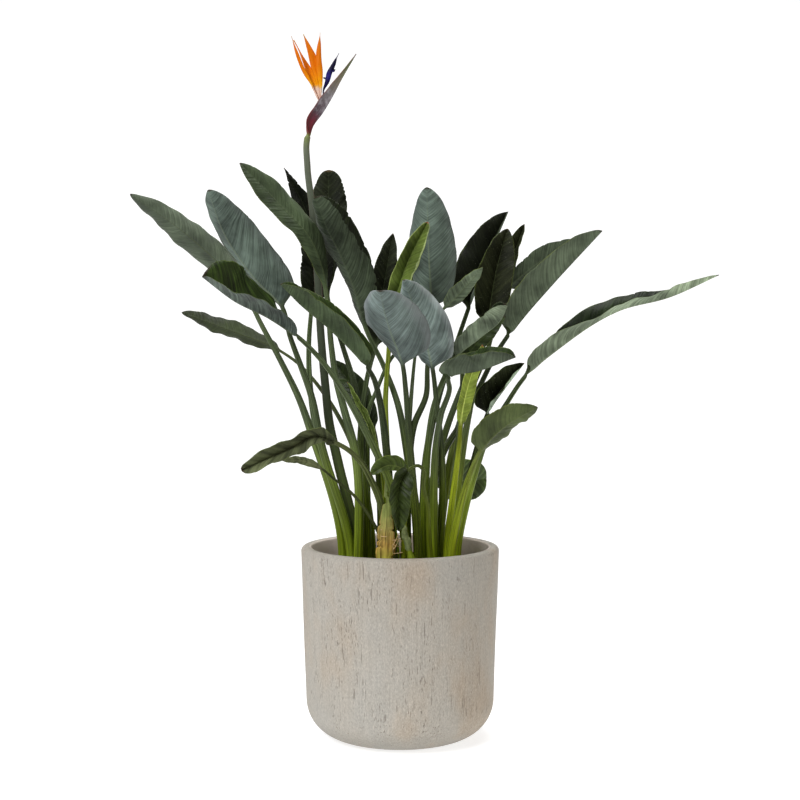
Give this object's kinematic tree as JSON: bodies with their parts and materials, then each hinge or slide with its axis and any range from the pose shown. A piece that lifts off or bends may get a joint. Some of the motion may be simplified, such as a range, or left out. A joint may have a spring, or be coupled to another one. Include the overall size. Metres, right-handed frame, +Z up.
{
  "type": "potted bird of paradise plant",
  "caption": "Bird of paradise plant in a cylindrical fibre-clay pot: upright stalks with long paddle leaves and one orange and blue flower.",
  "frame": {"origin": "centre of the pot's flat underside", "axes": "+Z up, the plant's front towards -Y, +X to the right seen from the front"},
  "size_m": [1.1878, 0.5359, 1.4101],
  "materials": {
    "pot": "matt cast fibre-clay, finely pitted",
    "soil": "loose dark potting soil",
    "leaf": "grey-green leaf, satin, waxy bloom underneath",
    "leaf_dark": "dark green upper leaf face, satin",
    "leaf_young": "yellow-green young leaf, satin",
    "dried_sheath": "dry pale leaf base",
    "flower_stem": "green stalk, red and grey-mauve bract",
    "sepals": "orange, silky",
    "tongue": "deep blue, silky"
  },
  "bodies": {
    "root": {"pot": "pot", "soil": "soil", "leaf_01": "leaf", "leaf_02": "leaf", "leaf_03": "leaf_dark", "leaf_04": "leaf", "leaf_05": "leaf", "leaf_06": "leaf_dark", "leaf_07": "leaf", "leaf_08": "leaf_dark", "leaf_09": "leaf", "leaf_10": "leaf_dark", "leaf_11": "leaf_young", "leaf_12": "leaf_dark", "leaf_13": "leaf", "leaf_14": "leaf", "leaf_15": "leaf", "leaf_16": "leaf_dark", "leaf_17": "leaf", "leaf_18": "leaf_dark", "leaf_19": "leaf_dark", "leaf_20": "leaf", "leaf_21": "leaf", "leaf_22": "leaf_dark", "leaf_23": "leaf", "leaf_24": "leaf", "leaf_25": "leaf_dark", "leaf_26": "leaf", "leaf_27": "leaf", "leaf_28": "leaf_young", "leaf_29": "leaf_dark", "leaf_30": "leaf_dark", "leaf_31": "leaf_young", "leaf_32": "leaf_dark", "leaf_33": "leaf_dark", "leaf_34": "leaf_dark", "leaf_35": "leaf_dark", "dried_sheath": "dried_sheath", "old_sheath": "leaf_young", "flower_stem": "flower_stem", "flower_sepals": "sepals", "flower_tongue": "tongue"}
  },
  "joints": []
}
